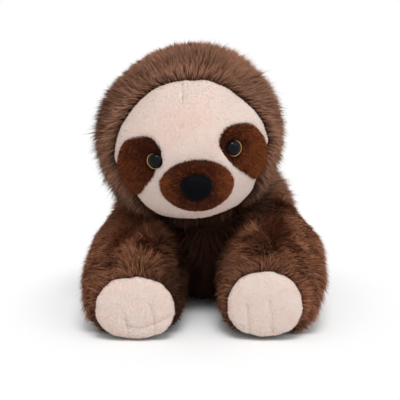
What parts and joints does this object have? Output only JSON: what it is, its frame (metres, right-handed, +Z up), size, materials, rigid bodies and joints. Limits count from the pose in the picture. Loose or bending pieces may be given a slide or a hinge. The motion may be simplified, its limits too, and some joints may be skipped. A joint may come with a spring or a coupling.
{
  "type": "plush sloth",
  "caption": "Stuffed long-pile sloth lying on its belly, with a pale face, rust eye patches and muzzle, safety eyes and nose, and pale sole pads on its paws.",
  "frame": {"origin": "middle of the flat of the belly, on the surface that the toy lies on", "axes": "+Z up, -Y the way the toy faces, +X its own left"},
  "size_m": [0.1919, 0.3477, 0.2234],
  "materials": {
    "brown_long_pile": "long fluffy acrylic pile, dark at the roots and lighter at the tips",
    "cream_short_pile": "short brushed velour",
    "rust_short_pile": "short dense pile",
    "polyester_stuffing": "loose fibre",
    "bag_cloth": "plain woven cloth",
    "black_flocked_nose": "flocked, matte",
    "black_glossy_eye": "polished",
    "gold_rim": "bright gold",
    "white_washer": "moulded"
  },
  "bodies": {
    "torso": {"torso_cover": "brown_long_pile", "torso_filling": "polyester_stuffing", "pellet_bag": "bag_cloth"},
    "head": {"head_cover": "brown_long_pile", "head_filling": "polyester_stuffing", "face_panel": "cream_short_pile", "left_eye_patch": "rust_short_pile", "right_eye_patch": "rust_short_pile", "muzzle_cover": "rust_short_pile", "muzzle_filling": "polyester_stuffing", "nose": "black_flocked_nose", "nose_washer": "white_washer", "left_eye": "black_glossy_eye", "left_eye_rim": "gold_rim", "left_eye_washer": "white_washer", "right_eye": "black_glossy_eye", "right_eye_rim": "gold_rim", "right_eye_washer": "white_washer"},
    "left_arm": {"left_arm_cover": "brown_long_pile", "left_arm_filling": "polyester_stuffing", "left_arm_pad": "cream_short_pile"},
    "right_arm": {"right_arm_cover": "brown_long_pile", "right_arm_filling": "polyester_stuffing", "right_arm_pad": "cream_short_pile"},
    "left_leg": {"left_leg_cover": "brown_long_pile", "left_leg_filling": "polyester_stuffing", "left_leg_pad": "cream_short_pile"},
    "right_leg": {"right_leg_cover": "brown_long_pile", "right_leg_filling": "polyester_stuffing", "right_leg_pad": "cream_short_pile"}
  },
  "joints": [
    {"name": "head_turn", "type": "hinge", "parent": "torso", "child": "head", "pos_m": [-0.013, -0.11251, 0.1499], "axis": [0, 0, 1], "range_deg": [-20, 20]},
    {"name": "left_arm_swing", "type": "hinge", "parent": "torso", "child": "left_arm", "pos_m": [0.053, -0.07392, 0.04502], "axis": [0, 0, 1], "range_deg": [-1, 38]},
    {"name": "right_arm_swing", "type": "hinge", "parent": "torso", "child": "right_arm", "pos_m": [-0.053, -0.07392, 0.04502], "axis": [0, 0, -1], "range_deg": [-3, 34]},
    {"name": "left_leg_swing", "type": "hinge", "parent": "torso", "child": "left_leg", "pos_m": [0.052, 0.0439, 0.03672], "axis": [0, 0, -1], "range_deg": [-2, 33]},
    {"name": "right_leg_swing", "type": "hinge", "parent": "torso", "child": "right_leg", "pos_m": [-0.052, 0.0439, 0.03672], "axis": [0, 0, 1], "range_deg": [-2, 33]}
  ]
}
